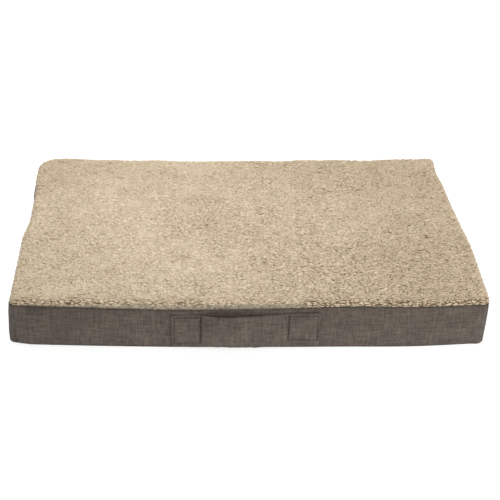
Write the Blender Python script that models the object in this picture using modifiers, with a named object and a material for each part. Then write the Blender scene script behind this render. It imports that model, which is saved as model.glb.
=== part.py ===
"""Pet cushion bed: a foam mattress in a zipped fabric cover with a sherpa top and a carry handle.

Metres, +Z up. The origin is on the floor under the middle of the bed. +X runs along the long
side, to the right seen from the front, and the front, with its handle, faces -Y.
"""
import math

import bmesh
import bpy

# ---- driving dimensions -------------------------------------------------------------------
LENGTH = 0.940  # along X
WIDTH = 0.610  # along Y, without the front's bulge
HEIGHT = 0.106
CORNER_RADIUS = 0.028
FRONT_BULGE = 0.012  # the foam pushes the middle of the front panel out
FABRIC = 0.0012
GAP = 0.0003  # between pieces that touch

SHERPA_THICKNESS = 0.0125
SHERPA_EDGE_RADIUS = 0.009
FOAM_SPLIT_Z = 0.060  # top of the firm support slab
FOAM_CLEARANCE = 0.005  # from the foam's sides to the outer face of the cover

HANDLE_LEFT_X = -0.158
HANDLE_RIGHT_X = 0.1355
HANDLE_LOW_Z = 0.006
HANDLE_HEIGHT = 0.0765
HANDLE_THICKNESS = 0.0024
HANDLE_PATCH = {"left": 0.063, "right": 0.068}  # length sewn down at each end
HANDLE_BOW = 0.011  # how far the free span stands off the front
THREAD_RADIUS = 0.0005
STITCH_INSET = 0.005  # from the patch's sides and upper edge to its box stitch
STITCH_RISE = {"left": 0.0085, "right": 0.016}  # and from its lower edge

ZIP_Z = 0.047
ZIP_WINDOW = 0.012  # gap between the two back strips, which shows the coils
BACK_PANEL_LENGTH = 0.840
COIL_LENGTH = 0.798
COIL_WIDTH = 0.0024
COIL_SPLIT = 0.0012  # between the two coils
COIL_DEPTH = 0.0022
TAPE_WIDTH = 0.0154
TAPE_THICKNESS = 0.0006
STOP_LENGTH = 0.004

SLIDER_X = 0.392  # the closed end
SLIDER_LENGTH = 0.012
SLIDER_WIDTH = 0.009
SLIDER_PLATE = 0.0015
SLIDER_WEB = 0.0006
ARCH_WIDTH = 0.002
ARCH_LENGTH = 0.0085
ARCH_BAR = 0.0008
ARCH_GAP = 0.0022  # room for the pull tab's bar
TAB_BAR = 0.0012
TAB_LENGTH = 0.026
TAB_WIDTH = 0.0076
TAB_HOLE_LENGTH = 0.0056
TAB_HOLE_WIDTH = 0.0034

LABEL_X = -0.290
LABEL_SIZE = (0.036, 0.0008, 0.032)

# ---- places worked out from them ----------------------------------------------------------
END_X = LENGTH / 2
BACK_Y = WIDTH / 2
CORNER_X = END_X - CORNER_RADIUS
CORNER_Y = BACK_Y - CORNER_RADIUS
WALL_LOW_Z = FABRIC + GAP
SHERPA_LOW_Z = HEIGHT - SHERPA_THICKNESS
WALL_HIGH_Z = SHERPA_LOW_Z - GAP
TAPE_HIGH_Y = BACK_Y - FABRIC - GAP
TAPE_LOW_Y = TAPE_HIGH_Y - TAPE_THICKNESS
COIL_LOW_Y = TAPE_HIGH_Y + GAP
COIL_HIGH_Y = COIL_LOW_Y + COIL_DEPTH
SLIDER_TOP_LOW_Y = COIL_HIGH_Y + GAP
SLIDER_TOP_HIGH_Y = SLIDER_TOP_LOW_Y + SLIDER_PLATE
SLIDER_BASE_HIGH_Y = TAPE_LOW_Y - GAP
SLIDER_BASE_LOW_Y = SLIDER_BASE_HIGH_Y - SLIDER_PLATE
TAB_AXIS_Y = SLIDER_TOP_HIGH_Y + ARCH_GAP / 2

# ---- colours: base colour, roughness, metallic --------------------------------------------
SHERPA = ((0.62, 0.50, 0.36), 0.95, 0.0)
LINEN = ((0.13, 0.105, 0.088), 0.90, 0.0)
BASE_CLOTH = ((0.055, 0.048, 0.044), 0.85, 0.0)
THREAD = ((0.20, 0.165, 0.14), 0.70, 0.0)
NYLON = ((0.10, 0.082, 0.070), 0.50, 0.0)
METAL = ((0.22, 0.20, 0.18), 0.35, 1.0)
SUPPORT_FOAM = ((0.78, 0.76, 0.70), 0.95, 0.0)
TOP_FOAM = ((0.45, 0.62, 0.72), 0.95, 0.0)
LABEL_CLOTH = ((0.85, 0.85, 0.83), 0.60, 0.0)


def clear_scene():
    for old in list(bpy.data.objects):
        bpy.data.objects.remove(old)


def make_collection(name):
    group = bpy.data.collections.new(name)
    bpy.context.scene.collection.children.link(group)
    return group


def set_material(part, look):
    colour, roughness, metallic = look
    material = bpy.data.materials.new(part.name)
    material.use_nodes = True
    shader = material.node_tree.nodes["Principled BSDF"]
    shader.inputs["Base Color"].default_value = (*colour, 1.0)
    shader.inputs["Roughness"].default_value = roughness
    shader.inputs["Metallic"].default_value = metallic
    part.data.materials.append(material)


def add_part(group, name, data, look):
    part = bpy.data.objects.new(name, data)
    group.objects.link(part)
    set_material(part, look)
    return part


def add_mesh(group, name, bm, look):
    mesh = bpy.data.meshes.new(name)
    bm.to_mesh(mesh)
    bm.free()
    return add_part(group, name, mesh, look)


def add_box(group, name, low, high, look):
    """A box between two corners, with its origin at its centre."""
    bm = bmesh.new()
    bmesh.ops.create_cube(bm, size=1.0)
    size = [b - a for a, b in zip(low, high)]
    bmesh.ops.scale(bm, vec=size, verts=bm.verts)
    part = add_mesh(group, name, bm, look)
    part.location = [(a + b) / 2 for a, b in zip(low, high)]
    return part


def arc(centre_x, centre_y, start_degrees, end_degrees, inset=0.0, steps=6):
    """Points along one rounded corner of the bed's plan, both ends included."""
    radius = CORNER_RADIUS - inset
    points = []
    for i in range(steps + 1):
        angle = math.radians(start_degrees + (end_degrees - start_degrees) * i / steps)
        x = centre_x + radius * math.cos(angle)
        y = centre_y + radius * math.sin(angle)
        points.append((x, y))
    return points


def front_y(x):
    """The outer face of the front panel, which bulges between the corners."""
    return -BACK_Y - FRONT_BULGE * max(0.0, 1 - (x / CORNER_X) ** 2)


def front_run(inset=0.0, steps=16):
    """Points along the front between its corners, left to right, without the ends."""
    points = []
    for i in range(1, steps):
        x = -CORNER_X + 2 * CORNER_X * i / steps
        points.append((x, front_y(x) + inset))
    return points


def plan_outline(inset=0.0):
    """The bed's outline seen from above, anticlockwise, or a smaller one inside it."""
    return (
        arc(-CORNER_X, -CORNER_Y, 180, 270, inset)
        + front_run(inset)
        + arc(CORNER_X, -CORNER_Y, 270, 360, inset)
        + arc(CORNER_X, CORNER_Y, 0, 90, inset)
        + arc(-CORNER_X, CORNER_Y, 90, 180, inset)
    )


def add_slab(group, name, outline, low_z, high_z, look, edge_radius=0.0):
    """A flat piece of the given outline, with its top edge rounded if a radius is given."""
    bm = bmesh.new()
    bottom = bm.faces.new([bm.verts.new((x, y, low_z)) for x, y in outline])
    lifted = bmesh.ops.extrude_face_region(bm, geom=[bottom])["geom"]
    top_corners = [item for item in lifted if isinstance(item, bmesh.types.BMVert)]
    bmesh.ops.translate(bm, vec=(0, 0, high_z - low_z), verts=top_corners)
    bmesh.ops.recalc_face_normals(bm, faces=bm.faces)
    if edge_radius:
        rim = [item for item in lifted if isinstance(item, bmesh.types.BMEdge)]
        bmesh.ops.bevel(bm, geom=rim, offset=edge_radius, segments=4, profile=0.5, affect="EDGES")
    return add_mesh(group, name, bm, look)


def add_wall(group, name, points, low_z, high_z, thickness, look):
    """An upright strip along a plan line, with its outer face on the line and its back inside."""
    bm = bmesh.new()
    foot = [bm.verts.new((x, y, low_z)) for x, y in points]
    edges = [bm.edges.new(pair) for pair in zip(foot, foot[1:])]
    lifted = bmesh.ops.extrude_edge_only(bm, edges=edges)["geom"]
    head = [item for item in lifted if isinstance(item, bmesh.types.BMVert)]
    bmesh.ops.translate(bm, vec=(0, 0, high_z - low_z), verts=head)
    part = add_mesh(group, name, bm, look)
    solidify = part.modifiers.new("thickness", "SOLIDIFY")
    solidify.thickness = thickness
    solidify.offset = 1
    solidify.use_even_offset = True
    return part


def add_gussets(group):
    """The upright sides of the cover. The back is two strips with the zip between them."""
    half_gap = math.degrees(GAP / 2 / CORNER_RADIUS)
    front = (
        arc(-CORNER_X, -CORNER_Y, 225 + half_gap, 270)
        + front_run()
        + arc(CORNER_X, -CORNER_Y, 270, 315 - half_gap)
    )
    add_wall(group, "front_gusset", front, WALL_LOW_Z, WALL_HIGH_Z, FABRIC, LINEN)
    back_end = BACK_PANEL_LENGTH / 2
    right = (
        arc(CORNER_X, -CORNER_Y, 315 + half_gap, 360)
        + arc(CORNER_X, CORNER_Y, 0, 90)
        + [(back_end + GAP, BACK_Y)]
    )
    add_wall(group, "right_gusset", right, WALL_LOW_Z, WALL_HIGH_Z, FABRIC, LINEN)
    left = [(-x, y) for x, y in reversed(right)]
    add_wall(group, "left_gusset", left, WALL_LOW_Z, WALL_HIGH_Z, FABRIC, LINEN)
    strips = (
        ("back_gusset_upper", ZIP_Z + ZIP_WINDOW / 2, WALL_HIGH_Z),
        ("back_gusset_lower", WALL_LOW_Z, ZIP_Z - ZIP_WINDOW / 2),
    )
    for name, low_z, high_z in strips:
        low = (-back_end, BACK_Y - FABRIC, low_z)
        high = (back_end, BACK_Y, high_z)
        add_box(group, name, low, high, LINEN)


def add_foam(group):
    """Two slabs inside the cover: a firm one on the floor side and a softer one on top."""
    outline = plan_outline(FOAM_CLEARANCE)
    add_slab(group, "foam_support_slab", outline, WALL_LOW_Z, FOAM_SPLIT_Z, SUPPORT_FOAM)
    add_slab(group, "foam_topper", outline, FOAM_SPLIT_Z + GAP, WALL_HIGH_Z, TOP_FOAM)


def handle_bow(x):
    """How far the strap stands off the front: nothing at the sewn ends, most at mid span."""
    start = HANDLE_LEFT_X + HANDLE_PATCH["left"]
    end = HANDLE_RIGHT_X - HANDLE_PATCH["right"]
    along = abs(2 * (x - start) / (end - start) - 1)
    if along >= 1:
        return 0.0
    return HANDLE_BOW * (1 - along**2) ** 2 * (1 + along**2)


def add_handle(group):
    """A flat strap, sewn down at both ends with a box stitch, and free in the middle."""
    outer = []
    for i in range(41):
        x = HANDLE_LEFT_X + (HANDLE_RIGHT_X - HANDLE_LEFT_X) * i / 40
        outer.append((x, front_y(x) - GAP - HANDLE_THICKNESS - handle_bow(x)))
    high_z = HANDLE_LOW_Z + HANDLE_HEIGHT
    add_wall(group, "handle_strap", outer, HANDLE_LOW_Z, high_z, HANDLE_THICKNESS, LINEN)

    left_end = HANDLE_LEFT_X + HANDLE_PATCH["left"] - STITCH_INSET
    right_end = HANDLE_RIGHT_X - HANDLE_PATCH["right"] + STITCH_INSET
    add_box_stitch(group, "left", HANDLE_LEFT_X + STITCH_INSET, left_end)
    add_box_stitch(group, "right", right_end, HANDLE_RIGHT_X - STITCH_INSET)


def add_box_stitch(group, side, low_x, high_x):
    """A rectangle of thread on the outer face of one sewn end."""
    low_z = HANDLE_LOW_Z + STITCH_RISE[side]
    high_z = HANDLE_LOW_Z + HANDLE_HEIGHT - STITCH_INSET
    middle_x = (low_x + high_x) / 2
    corners = [(low_x, low_z), (middle_x, low_z), (high_x, low_z)]
    corners += [(high_x, high_z), (middle_x, high_z), (low_x, high_z)]
    name = f"handle_stitch_{side}"
    curve = bpy.data.curves.new(name, "CURVE")
    curve.dimensions = "3D"
    curve.bevel_depth = THREAD_RADIUS
    curve.bevel_resolution = 1
    spline = curve.splines.new("POLY")
    spline.points.add(len(corners) - 1)
    spline.use_cyclic_u = True
    for point, (x, z) in zip(spline.points, corners):
        y = front_y(x) - 2 * GAP - HANDLE_THICKNESS - THREAD_RADIUS
        point.co = (x, y, z, 1)
    add_part(group, name, curve, THREAD)


def add_zip(group):
    """Tapes behind the back strips, a coil on each tape, and a stop at each end."""
    tape_end = BACK_PANEL_LENGTH / 2
    coil_end = COIL_LENGTH / 2
    for side, way in (("upper", 1), ("lower", -1)):
        near = ZIP_Z + way * COIL_SPLIT / 2
        far_tape = near + way * TAPE_WIDTH
        far_coil = near + way * COIL_WIDTH
        low = (-tape_end, TAPE_LOW_Y, min(near, far_tape))
        high = (tape_end, TAPE_HIGH_Y, max(near, far_tape))
        add_box(group, f"zipper_tape_{side}", low, high, LINEN)
        low = (-coil_end, COIL_LOW_Y, min(near, far_coil))
        high = (coil_end, COIL_HIGH_Y, max(near, far_coil))
        add_box(group, f"zipper_coil_{side}", low, high, NYLON)
    half_stop = COIL_SPLIT / 2 + COIL_WIDTH + GAP
    for name, way in (("zipper_top_stop", 1), ("zipper_bottom_stop", -1)):
        ends = sorted((way * (coil_end + GAP), way * (coil_end + GAP + STOP_LENGTH)))
        low = (ends[0], COIL_LOW_Y, ZIP_Z - half_stop)
        high = (ends[1], COIL_HIGH_Y + GAP, ZIP_Z + half_stop)
        add_box(group, name, low, high, METAL)


def join_box(part, cutters, name, low, high):
    """Unite a box with a part. The box stays as a guide in the cutters' collection."""
    guide = add_box(cutters, name, low, high, METAL)
    guide.hide_render = True
    guide.display_type = "WIRE"
    union = part.modifiers.new(name, "BOOLEAN")
    union.operation = "UNION"
    union.solver = "EXACT"
    union.object = guide


def add_slider(group, cutters):
    """Two plates held apart by a web that runs between the coils, and an arch for the tab."""
    half_length = SLIDER_LENGTH / 2
    half_width = SLIDER_WIDTH / 2
    low = (SLIDER_X - half_length, SLIDER_TOP_LOW_Y, ZIP_Z - half_width)
    high = (SLIDER_X + half_length, SLIDER_TOP_HIGH_Y, ZIP_Z + half_width)
    slider = add_box(group, "zipper_slider", low, high, METAL)

    low = (SLIDER_X - half_length, SLIDER_BASE_LOW_Y, ZIP_Z - half_width)
    high = (SLIDER_X + half_length, SLIDER_BASE_HIGH_Y, ZIP_Z + half_width)
    join_box(slider, cutters, "slider_base_plate", low, high)

    bite = SLIDER_PLATE / 2
    low = (SLIDER_X - half_length / 2, SLIDER_BASE_HIGH_Y - bite, ZIP_Z - SLIDER_WEB / 2)
    high = (SLIDER_X + half_length / 2, SLIDER_TOP_LOW_Y + bite, ZIP_Z + SLIDER_WEB / 2)
    join_box(slider, cutters, "slider_web", low, high)

    arch_under = SLIDER_TOP_HIGH_Y + ARCH_GAP
    arch_over = arch_under + ARCH_BAR
    low_z = ZIP_Z - ARCH_WIDTH / 2
    high_z = ZIP_Z + ARCH_WIDTH / 2
    for name, way in (("slider_arch_foot_left", -1), ("slider_arch_foot_right", 1)):
        outer = SLIDER_X + way * ARCH_LENGTH / 2
        ends = sorted((outer, outer - way * ARCH_BAR))
        low = (ends[0], SLIDER_TOP_HIGH_Y - bite, low_z)
        high = (ends[1], arch_under + ARCH_BAR / 2, high_z)
        join_box(slider, cutters, name, low, high)
    low = (SLIDER_X - ARCH_LENGTH / 2, arch_under, low_z)
    high = (SLIDER_X + ARCH_LENGTH / 2, arch_over, high_z)
    join_box(slider, cutters, "slider_arch_bar", low, high)


def tab_ring(half_width, start, end, round_end):
    """One closed outline of the pull tab in its own plane, rounded at the far end if asked."""
    points = [(start, -half_width), (start, half_width)]
    if not round_end:
        return points + [(end, half_width), (end, -half_width)]
    centre = end - half_width
    for i in range(9):
        angle = math.radians(90 - 180 * i / 8)
        points.append((centre + half_width * math.cos(angle), half_width * math.sin(angle)))
    return points


def add_pull_tab(group):
    """A flat tab whose end bar lies under the slider's arch. Its origin is on that bar's axis."""
    curve = bpy.data.curves.new("zipper_pull_tab", "CURVE")
    curve.dimensions = "2D"
    curve.fill_mode = "BOTH"
    curve.extrude = TAB_BAR / 2
    half_bar = TAB_BAR / 2
    rings = (
        tab_ring(TAB_WIDTH / 2, -half_bar, TAB_LENGTH, True),
        tab_ring(TAB_HOLE_WIDTH / 2, half_bar, half_bar + TAB_HOLE_LENGTH, False),
    )
    for ring in rings:
        spline = curve.splines.new("POLY")
        spline.points.add(len(ring) - 1)
        spline.use_cyclic_u = True
        for point, (along, across) in zip(spline.points, ring):
            point.co = (-along, across, 0, 1)
    tab = add_part(group, "zipper_pull_tab", curve, METAL)
    tab.location = (SLIDER_X, TAB_AXIS_Y, ZIP_Z)
    tab.rotation_euler = (math.radians(90), 0, 0)


def add_label(group):
    """A blank care label, hanging down the back from the cover's top seam."""
    length, thickness, drop = LABEL_SIZE
    low = (LABEL_X - length / 2, BACK_Y + GAP, WALL_HIGH_Z - drop)
    high = (LABEL_X + length / 2, BACK_Y + GAP + thickness, WALL_HIGH_Z)
    add_box(group, "care_label", low, high, LABEL_CLOTH)


def main():
    clear_scene()
    bed = make_collection("pet_cushion_bed")
    cutters = make_collection("cutters")
    outline = plan_outline()
    add_slab(bed, "base_panel", outline, 0.0, FABRIC, BASE_CLOTH)
    add_slab(bed, "sherpa_top_panel", outline, SHERPA_LOW_Z, HEIGHT, SHERPA, SHERPA_EDGE_RADIUS)
    add_gussets(bed)
    add_foam(bed)
    add_handle(bed)
    add_zip(bed)
    add_slider(bed, cutters)
    add_pull_tab(bed)
    add_label(bed)


main()
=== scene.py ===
"""Looks for the pet cushion bed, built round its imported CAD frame.

Metres, +Z up, the front with its handle faces -Y. Every size comes from the frame's boxes or
from a named value here. Cloth pieces are laid out on a plain box first, and shape_cover() then
bends them all in the same way, so that they stay together along their seams.
"""

import math

import bmesh
import bpy
import numpy as np
from mathutils import Matrix, Vector


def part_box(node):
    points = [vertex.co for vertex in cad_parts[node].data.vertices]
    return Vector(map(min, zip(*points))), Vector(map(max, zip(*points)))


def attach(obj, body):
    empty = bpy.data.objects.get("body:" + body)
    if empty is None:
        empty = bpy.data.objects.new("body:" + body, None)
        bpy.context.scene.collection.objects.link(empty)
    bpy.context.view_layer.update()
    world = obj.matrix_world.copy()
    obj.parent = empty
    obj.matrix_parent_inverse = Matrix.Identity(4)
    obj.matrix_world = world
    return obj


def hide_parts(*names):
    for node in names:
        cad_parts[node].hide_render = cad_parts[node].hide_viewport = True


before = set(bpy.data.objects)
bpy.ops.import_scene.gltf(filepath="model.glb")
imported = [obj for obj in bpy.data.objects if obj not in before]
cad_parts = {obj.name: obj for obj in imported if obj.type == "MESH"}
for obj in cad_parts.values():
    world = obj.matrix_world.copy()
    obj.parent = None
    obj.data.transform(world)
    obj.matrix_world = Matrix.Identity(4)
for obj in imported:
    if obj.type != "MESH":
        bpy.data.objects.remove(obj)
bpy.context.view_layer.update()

COVER = "cover_and_foam"

# ---- places read from the frame -----------------------------------------------------------
top_low, top_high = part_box("sherpa_top_panel")
side_low, side_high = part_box("right_gusset")
panel_low, panel_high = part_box("back_gusset_upper")
lower_low, lower_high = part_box("back_gusset_lower")
strap_low, strap_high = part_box("handle_strap")

END_X = top_high.x
BACK_Y = top_high.y
FRONT_BULGE = -top_low.y - BACK_Y
HEIGHT = top_high.z
FOOT_Z = side_low.z
SEAM_Z = side_high.z

# ---- cloth sizes --------------------------------------------------------------------------
CLOTH = 0.0011  # thickness of the linen
PLAN_RADIUS = 0.010  # corner radius of the plain box, before shape_cover() rounds it
PILE_INSET = 0.003  # the sherpa's backing lies this far inside the sides
PILE_STEP_X = 0.0016  # grid of the pile
PILE_STEP_Y = 0.0010
PILE_HEIGHT = 0.0050
PILE_LEAN = (-0.25, -0.80)  # the way that most curls lean, in plan
PILE_GRAIN = (0.70, 1.28)  # curls are longer along X than along Y
SHERPA_BASE_Z = HEIGHT - 0.0045  # the backing's level, under the pile
EDGE_ROLL = 0.007  # radius of the top edge
SEAM_TUCK = 0.004  # how far the sherpa goes down behind the sides
PANEL_STEP = 0.003
HEM = 0.003  # how far in from its edge a panel starts to turn under


# ---- smooth noise -------------------------------------------------------------------------
def plane_waves(seed, wavelength, count=60, spread=0.35):
    """Random plane waves of about one wavelength, for a smooth noise with a known scale."""
    rng = np.random.default_rng(seed)
    way = rng.normal(size=(count, 3))
    way /= np.linalg.norm(way, axis=1)[:, None]
    length = wavelength * (1 + spread * (rng.random(count) - 0.5) * 2)
    return way * (2 * np.pi / length)[:, None], rng.random(count) * 2 * np.pi


def noise(points, seed, wavelength, count=60):
    """Noise of about unit strength at an N x 3 array of points."""
    ways, phases = plane_waves(seed, wavelength, count)
    total = np.zeros(len(points))
    for way, phase in zip(ways, phases):
        total += np.cos(points @ way + phase)
    return total / math.sqrt(count / 2)


def ease(value, start, end):
    """0 before start, 1 after end, and smooth between."""
    t = np.clip((value - start) / (end - start), 0, 1)
    return t * t * (3 - 2 * t)


def bump(value, centre, width):
    return np.exp(-(((value - centre) / width) ** 2))


# ---- the cover's shape --------------------------------------------------------------------
def round_corner(x, y, way_x, way_y, size_x, size_y, strength):
    """Round one corner of the plan: a rectangle of the given size becomes a quarter ellipse."""
    inner_x = END_X - size_x
    inner_y = BACK_Y - size_y
    across = np.clip(x * way_x - inner_x, 0, None) / size_x
    along = np.clip(y * way_y - inner_y, 0, None) / size_y
    square = np.maximum(across, along)
    circle = np.hypot(across, along)
    inside = (across > 0) & (along > 0)
    shrink = np.where(inside, (square / np.maximum(circle, 1e-9)) ** strength, 1.0)
    new_x = np.where(inside, way_x * (inner_x + size_x * across * shrink), x)
    new_y = np.where(inside, way_y * (inner_y + size_y * along * shrink), y)
    return new_x, new_y


def front_bulge(x):
    """How far the foam pushes the front out, most in the middle."""
    corner_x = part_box("front_gusset")[1].x - 0.02
    return FRONT_BULGE * np.clip(1 - (x / corner_x) ** 2, 0, None)


def shape_cover(points):
    """Bend the plain box of the cover into the real, slightly uneven one."""
    x, y, z = points[:, 0].copy(), points[:, 1].copy(), points[:, 2].copy()
    height = np.clip(z / HEIGHT, 0, 1)
    foot = (1 - height) ** 0.8
    x, y = round_corner(x, y, -1, -1, 0.052, 0.017, 1.05 * foot)
    x, y = round_corner(x, y, 1, -1, 0.014, 0.014, 0.20 + 0.20 * foot)
    x, y = round_corner(x, y, 1, 1, 0.024, 0.024, 0.50 * foot)
    x, y = round_corner(x, y, -1, 1, 0.040, 0.052, 0.80 + 0.10 * height)

    front = np.clip(-y / BACK_Y, 0, 1) ** 2
    y = y - front * front_bulge(x)
    y = y - front * 0.005 * bump(x, 0.33, 0.12) * (1 - 0.5 * height)

    right = np.clip(x / END_X, 0, 1) ** 4
    left = np.clip(-x / END_X, 0, 1) ** 4
    out_right = 0.0095 * bump(y, -0.11, 0.15) * (0.35 + 0.65 * height)
    out_right += 0.0020 * bump(y, -BACK_Y, 0.07) - 0.0050 * bump(y, 0.24, 0.05) * height
    in_left = 0.0085 * ease(y, -0.07, 0.02) * (1 - 0.65 * ease(y, 0.12, 0.22))
    below_seam = 1 - ease(z, SEAM_Z - 0.002, SEAM_Z + 0.006)
    out_left = (0.0028 + 0.0055 * (1 - height)) * bump(y, -BACK_Y, 0.06) * below_seam
    y = y + 0.0045 * bump(x, END_X, 0.04) * bump(y, BACK_Y, 0.04) * height**3
    x = x + right * out_right + left * (in_left * (0.3 + 0.7 * height) - out_left)

    rear = ease(y, 0.02, BACK_Y)
    sag = 0.0035 * bump(x, -0.12, 0.20) * rear + 0.0012 * bump(y, 0.0, 0.2) * bump(x, -0.1, 0.2)
    sag += 0.0018 * (1 - ease(x, 0.03, 0.17)) * rear
    lift = 0.0045 * ease(x, 0.24, 0.44) * rear
    lift += 0.0009 * (np.sin(x * 31 + 1.3) + 0.7 * np.sin(x * 57 - 0.4)) * ease(y, 0.16, BACK_Y)
    z = z + np.clip(height - 0.6, 0, None) / 0.4 * (lift - sag)
    return np.stack([x, y, z], axis=1)


def seam_height(x, y):
    """Height of the seam between the sides and the sherpa, before shape_cover()."""
    front = ease(-y, BACK_Y - 0.05, BACK_Y - 0.005)
    dip = 0.0030 * bump(x, -0.19, 0.17)
    rise = 0.0045 * bump(x, 0.20, 0.10) + 0.0020 * ease(x, 0.25, 0.42)
    wave = 0.0005 * np.sin(x * 23.0 + 1.0) * np.cos(y * 17.0)
    return SEAM_Z + front * (rise - dip) + wave


# ---- cloth simulation of the cover --------------------------------------------------------
SIM_VOXEL = 0.009
SIM_FRAMES = 20
SIM_CAP = 0.005  # how far a point of the cover may swell
LATTICE_STEP = 0.014


def cover_block():
    """A closed block the size of the plain cover, remeshed evenly for the simulation."""
    bm = bmesh.new()
    bmesh.ops.create_cube(bm, size=1.0)
    for vertex in bm.verts:
        vertex.co.x *= 2 * END_X
        vertex.co.y *= 2 * BACK_Y
        vertex.co.z = (vertex.co.z + 0.5) * HEIGHT
    bmesh.ops.bevel(bm, geom=bm.edges, offset=PLAN_RADIUS, segments=3, profile=0.5, affect="EDGES")
    mesh = bpy.data.meshes.new("cover_block")
    bm.to_mesh(mesh)
    bm.free()
    block = bpy.data.objects.new("cover_block", mesh)
    bpy.context.scene.collection.objects.link(block)
    add_modifier(block, "REMESH", mode="VOXEL", voxel_size=SIM_VOXEL)
    apply_modifiers(block)
    return block


def apply_modifiers(piece):
    """Replace a piece's mesh by what its modifiers make of it, and remove them."""
    graph = bpy.context.evaluated_depsgraph_get()
    made = bpy.data.meshes.new_from_object(piece.evaluated_get(graph), depsgraph=graph)
    piece.modifiers.clear()
    piece.data = made


def mesh_points(mesh):
    points = np.empty(len(mesh.vertices) * 3, np.float64)
    mesh.vertices.foreach_get("co", points)
    return points.reshape(-1, 3)


def hold_weights(points):
    """How firmly each point is held: fully along the seams and the zip, softly elsewhere."""
    x, y, z = points.T
    on_top = ease(z, SEAM_Z, HEIGHT - 0.004)
    from_side = np.minimum(END_X - np.abs(x), BACK_Y - np.abs(y))
    seam = bump(z, SEAM_Z, 0.008) * (1 - ease(from_side, 0.004, 0.014))
    foot = 1 - ease(z, 0.004, 0.014)
    back = ease(y, BACK_Y - 0.02, BACK_Y - 0.008)
    lying = on_top * (0.35 + 0.15 * ease(from_side, 0.02, 0.10))
    return np.clip(np.maximum.reduce([seam, foot, back, lying, np.full_like(x, 0.04)]), 0, 1)


def simulate_cover():
    """Swell the cover with air pressure. Gives the plain points and how far each one moved."""
    block = cover_block()
    plain = mesh_points(block.data)
    start = shape_cover(plain)
    block.data.vertices.foreach_set("co", start.astype(np.float32).ravel())
    held = block.vertex_groups.new(name="held")
    for index, weight in enumerate(hold_weights(plain)):
        held.add([index], float(weight), "REPLACE")
    cloth = add_modifier(block, "CLOTH")
    settings = cloth.settings
    settings.quality = 5
    settings.mass = 0.25
    settings.tension_stiffness = 12
    settings.compression_stiffness = 12
    settings.shear_stiffness = 4
    settings.bending_stiffness = 0.4
    settings.shrink_min = -0.012
    settings.use_pressure = True
    settings.uniform_pressure_force = 4
    settings.vertex_group_mass = "held"
    settings.pin_stiffness = 0.6
    settings.effector_weights.gravity = 0
    scene = bpy.context.scene
    cloth.point_cache.frame_start = 1
    cloth.point_cache.frame_end = SIM_FRAMES
    for number in range(1, SIM_FRAMES + 1):
        scene.frame_set(number)
    apply_modifiers(block)
    moved = mesh_points(block.data) - start
    scene.frame_set(1)
    mesh = block.data
    bpy.data.objects.remove(block)
    bpy.data.meshes.remove(mesh)
    length = np.linalg.norm(moved, axis=1)
    moved *= (SIM_CAP * np.tanh(length / SIM_CAP) / np.maximum(length, 1e-9))[:, None]
    return plain, moved


class Swell:
    """The simulated movement of the cover, spread over a lattice and read anywhere on it."""

    def __init__(self, plain, moved):
        self.low = plain.min(axis=0) - 1.5 * LATTICE_STEP
        self.shape = np.ceil((plain.max(axis=0) - self.low) / LATTICE_STEP).astype(int) + 3
        self.total = np.zeros((*self.shape, 4))
        values = np.concatenate([moved, np.ones((len(plain), 1))], axis=1)
        for cells, share in self.corners(plain):
            np.add.at(self.total, cells, values * share[:, None])

    def corners(self, points):
        """The eight lattice points round each point, and the share of each."""
        place = np.clip((points - self.low) / LATTICE_STEP, 0, self.shape - 1.001)
        base = place.astype(int)
        part = place - base
        for corner in np.ndindex(2, 2, 2):
            share = np.prod(np.where(corner, part, 1 - part), axis=1)
            yield tuple((base + corner).T), share

    def at(self, points):
        found = sum(self.total[cells] * share[:, None] for cells, share in self.corners(points))
        return found[:, :3] / np.maximum(found[:, 3:], 1e-3)


swell = None


def on_cover(points):
    """Where points of the plain box end up: bent into shape, then moved as the cloth swelled."""
    shaped = shape_cover(points)
    if swell is not None:
        shaped += swell.at(points)
    return shaped


# ---- meshes -------------------------------------------------------------------------------
def make_mesh(name, points, faces, smooth=True):
    """A mesh from N x 3 points and quads given as an M x 4 array."""
    mesh = bpy.data.meshes.new(name)
    mesh.vertices.add(len(points))
    mesh.vertices.foreach_set("co", np.asarray(points, np.float32).ravel())
    mesh.loops.add(faces.size)
    mesh.loops.foreach_set("vertex_index", faces.astype(np.int32).ravel())
    mesh.polygons.add(len(faces))
    mesh.polygons.foreach_set("loop_start", np.arange(0, faces.size, 4, dtype=np.int32))
    mesh.update(calc_edges=True)
    mesh.validate()
    if smooth:
        mesh.shade_smooth()
    return mesh


def grid_faces(rows, columns, wrap_columns=False):
    """Quads of a grid whose points run column by column within each row."""
    index = np.arange(rows * columns).reshape(rows, columns)
    if wrap_columns:
        index = np.concatenate([index, index[:, :1]], axis=1)
    corners = (index[:-1, :-1], index[:-1, 1:], index[1:, 1:], index[1:, :-1])
    return np.stack(corners, axis=-1).reshape(-1, 4)


def add_object(name, mesh):
    piece = bpy.data.objects.new(name, mesh)
    bpy.context.scene.collection.objects.link(piece)
    return piece


def store(mesh, name, values):
    """Keep a value or a vector per point, for the materials."""
    values = np.asarray(values, np.float32)
    kind = "FLOAT_VECTOR" if values.ndim == 2 else "FLOAT"
    attribute = mesh.attributes.new(name, kind, "POINT")
    attribute.data.foreach_set("vector" if values.ndim == 2 else "value", values.ravel())


def settle(piece, body, material, slot, *nodes):
    """Give a piece its material and body, and hide the CAD nodes that it stands for. The slot argument is not
    used.
    """
    piece.data.materials.clear()
    piece.data.materials.append(material)
    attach(piece, body)
    if nodes:
        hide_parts(*nodes)
    return piece


def add_modifier(piece, kind, **settings):
    modifier = piece.modifiers.new(kind.lower(), kind)
    for name, value in settings.items():
        setattr(modifier, name, value)
    return modifier


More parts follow.
